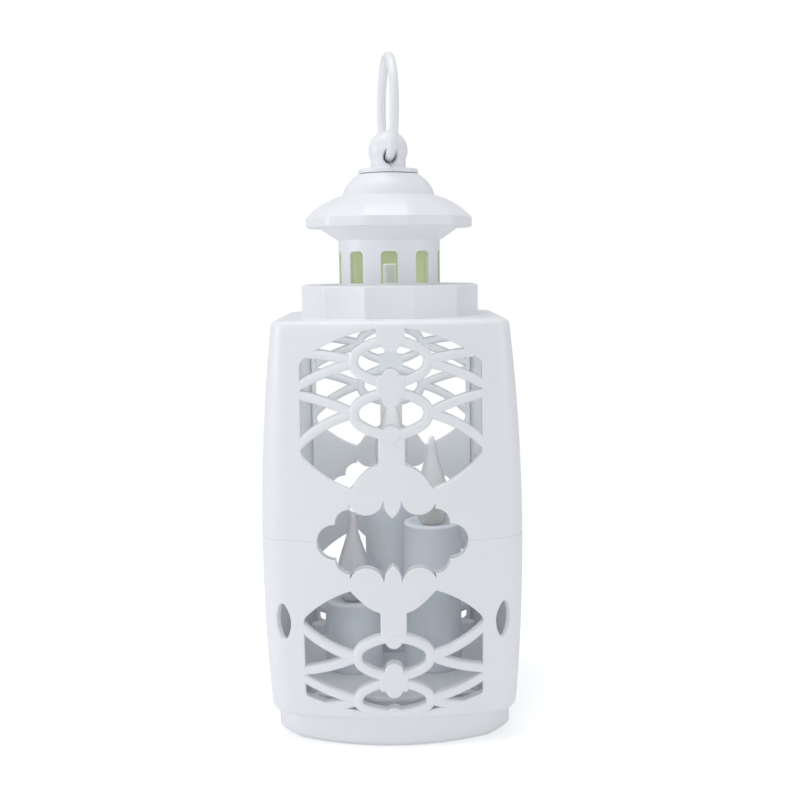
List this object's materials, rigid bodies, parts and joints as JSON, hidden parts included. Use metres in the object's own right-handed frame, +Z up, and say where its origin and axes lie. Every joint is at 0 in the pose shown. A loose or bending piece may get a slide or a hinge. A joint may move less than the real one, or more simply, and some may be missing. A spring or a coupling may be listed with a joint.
{
  "type": "led candle lantern",
  "caption": "Table and hanging lantern: pierced barrel body with led candles inside, windowed cupola, swivelling finial and hanging ring, battery base.",
  "frame": {"origin": "middle of the footprint, on the surface the lantern stands on", "axes": "+Z up, the front openwork faces -Y, +X to the viewer's right"},
  "size_m": [0.104, 0.108, 0.2769],
  "materials": {
    "shell": "satin white moulded plastic",
    "trim": "satin white moulded plastic",
    "candle": "soft off-white plastic",
    "flame": "milky translucent silicone",
    "led": "clear epoxy lamp",
    "metal": "nickel plated",
    "cell": "plain sleeved cell",
    "board": "solder-masked board",
    "chip": "black moulded chip"
  },
  "bodies": {
    "lantern": {"base_tray": "shell", "cell_front": "cell", "cell_middle": "cell", "cell_rear": "cell", "contacts_left": "metal", "contacts_right": "metal", "circuit_board": "board", "timer_chip": "chip", "switch_case": "metal", "base_screws": "metal", "candle_deck": "shell", "candle_left": "candle", "candle_right": "candle", "candle_rear": "candle", "flame_left": "flame", "flame_right": "flame", "flame_rear": "flame", "led_left": "led", "led_right": "led", "led_rear": "led", "leads_left": "metal", "leads_right": "metal", "leads_rear": "metal", "lower_shell": "shell", "upper_shell": "shell", "collar": "shell", "collar_screw": "metal", "cupola": "shell", "roof": "shell"},
    "switch": {"switch_knob": "trim"},
    "cover": {"battery_cover": "shell"},
    "finial": {"finial_left": "trim", "finial_right": "trim", "finial_screw": "metal"},
    "ring": {"hanging_ring": "trim"}
  },
  "joints": [
    {"name": "finial_turn", "type": "hinge", "parent": "lantern", "child": "finial", "pos_m": [0, 0, 0.2276], "axis": [0, 0, 1], "continuous": true},
    {"name": "ring_swing", "type": "hinge", "parent": "finial", "child": "ring", "pos_m": [0, 0, 0.2342], "axis": [-0.1305, 0.9914, 0], "range_deg": [-120, 120]},
    {"name": "switch_slide", "type": "slide", "parent": "lantern", "child": "switch", "axis": [1, 0, 0], "range_m": [0, 0.004]},
    {"name": "cover_slide", "type": "slide", "parent": "lantern", "child": "cover", "axis": [1, 0, 0], "range_m": [0, 0.0085]}
  ]
}
